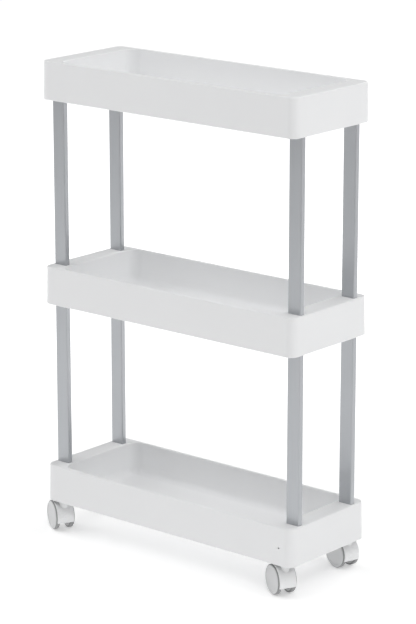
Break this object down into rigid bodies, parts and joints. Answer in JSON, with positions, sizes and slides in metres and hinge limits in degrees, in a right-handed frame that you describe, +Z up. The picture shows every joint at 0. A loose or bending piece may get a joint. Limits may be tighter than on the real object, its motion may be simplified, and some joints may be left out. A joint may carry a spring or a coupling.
{
  "type": "rolling pantry cart",
  "caption": "Slim rolling storage cart: open moulded trays in tiers on rectangular post tubes, with hooded twin-wheel swivel casters.",
  "frame": {"origin": "middle of the bottom tray's inside floor, 47.5 mm above the ground that the casters roll on", "axes": "+Z up, X along the trays' length, -Y the long side that faces the user, +X their right"},
  "size_m": [0.4127, 0.1603, 0.609],
  "materials": {
    "tray_plastic": "satin",
    "post_tube": "satin silver",
    "caster_hood": "gloss",
    "caster_wheel": "satin",
    "caster_tyre": "matte",
    "plated_steel": "zinc plated"
  },
  "bodies": {
    "frame": {"bottom_tray": "tray_plastic", "middle_tray": "tray_plastic", "top_tray": "tray_plastic", "lower_post_front_left": "post_tube", "lower_post_front_right": "post_tube", "lower_post_rear_left": "post_tube", "lower_post_rear_right": "post_tube", "upper_post_front_left": "post_tube", "upper_post_front_right": "post_tube", "upper_post_rear_left": "post_tube", "upper_post_rear_right": "post_tube", "caster_front_left_stem": "plated_steel", "caster_front_left_grip_ring": "plated_steel", "caster_front_right_stem": "plated_steel", "caster_front_right_grip_ring": "plated_steel", "caster_rear_left_stem": "plated_steel", "caster_rear_left_grip_ring": "plated_steel", "caster_rear_right_stem": "plated_steel", "caster_rear_right_grip_ring": "plated_steel"},
    "caster_front_left": {"caster_front_left_hood": "caster_hood", "caster_front_left_axle": "plated_steel"},
    "wheel_front_left_right": {"caster_front_left_wheel_right": "caster_wheel", "caster_front_left_tyre_right": "caster_tyre"},
    "wheel_front_left_left": {"caster_front_left_wheel_left": "caster_wheel", "caster_front_left_tyre_left": "caster_tyre"},
    "caster_front_right": {"caster_front_right_hood": "caster_hood", "caster_front_right_axle": "plated_steel"},
    "wheel_front_right_right": {"caster_front_right_wheel_right": "caster_wheel", "caster_front_right_tyre_right": "caster_tyre"},
    "wheel_front_right_left": {"caster_front_right_wheel_left": "caster_wheel", "caster_front_right_tyre_left": "caster_tyre"},
    "caster_rear_left": {"caster_rear_left_hood": "caster_hood", "caster_rear_left_axle": "plated_steel"},
    "wheel_rear_left_right": {"caster_rear_left_wheel_right": "caster_wheel", "caster_rear_left_tyre_right": "caster_tyre"},
    "wheel_rear_left_left": {"caster_rear_left_wheel_left": "caster_wheel", "caster_rear_left_tyre_left": "caster_tyre"},
    "caster_rear_right": {"caster_rear_right_hood": "caster_hood", "caster_rear_right_axle": "plated_steel"},
    "wheel_rear_right_right": {"caster_rear_right_wheel_right": "caster_wheel", "caster_rear_right_tyre_right": "caster_tyre"},
    "wheel_rear_right_left": {"caster_rear_right_wheel_left": "caster_wheel", "caster_rear_right_tyre_left": "caster_tyre"}
  },
  "joints": [
    {"name": "swivel_front_left", "type": "hinge", "parent": "frame", "child": "caster_front_left", "pos_m": [-0.1815, -0.062, -0.0081], "axis": [0, 0, 1], "continuous": true},
    {"name": "spin_front_left_right", "type": "hinge", "parent": "caster_front_left", "child": "wheel_front_left_right", "pos_m": [-0.19509, -0.0658, -0.02875], "axis": [0.4617, 0.887, 0], "continuous": true},
    {"name": "spin_front_left_left", "type": "hinge", "parent": "caster_front_left", "child": "wheel_front_left_left", "pos_m": [-0.18618, -0.04868, -0.02875], "axis": [0.4617, 0.887, 0], "continuous": true},
    {"name": "swivel_front_right", "type": "hinge", "parent": "frame", "child": "caster_front_right", "pos_m": [0.1815, -0.062, -0.0081], "axis": [0, 0, 1], "continuous": true},
    {"name": "spin_front_right_right", "type": "hinge", "parent": "caster_front_right", "child": "wheel_front_right_right", "pos_m": [0.16803, -0.06623, -0.02875], "axis": [0.4337, 0.9011, 0], "continuous": true},
    {"name": "spin_front_right_left", "type": "hinge", "parent": "caster_front_right", "child": "wheel_front_right_left", "pos_m": [0.1764, -0.04884, -0.02875], "axis": [0.4337, 0.9011, 0], "continuous": true},
    {"name": "swivel_rear_left", "type": "hinge", "parent": "frame", "child": "caster_rear_left", "pos_m": [-0.1815, 0.062, -0.0081], "axis": [0, 0, 1], "continuous": true},
    {"name": "spin_rear_left_right", "type": "hinge", "parent": "caster_rear_left", "child": "wheel_rear_left_right", "pos_m": [-0.19448, 0.05645, -0.02875], "axis": [0.342, 0.9397, 0], "continuous": true},
    {"name": "spin_rear_left_left", "type": "hinge", "parent": "caster_rear_left", "child": "wheel_rear_left_left", "pos_m": [-0.18788, 0.07459, -0.02875], "axis": [0.342, 0.9397, 0], "continuous": true},
    {"name": "swivel_rear_right", "type": "hinge", "parent": "frame", "child": "caster_rear_right", "pos_m": [0.1815, 0.062, -0.0081], "axis": [0, 0, 1], "continuous": true},
    {"name": "spin_rear_right_right", "type": "hinge", "parent": "caster_rear_right", "child": "wheel_rear_right_right", "pos_m": [0.169, 0.05545, -0.02875], "axis": [0.2672, 0.9636, 0], "continuous": true},
    {"name": "spin_rear_right_left", "type": "hinge", "parent": "caster_rear_right", "child": "wheel_rear_right_left", "pos_m": [0.17415, 0.07405, -0.02875], "axis": [0.2672, 0.9636, 0], "continuous": true}
  ]
}
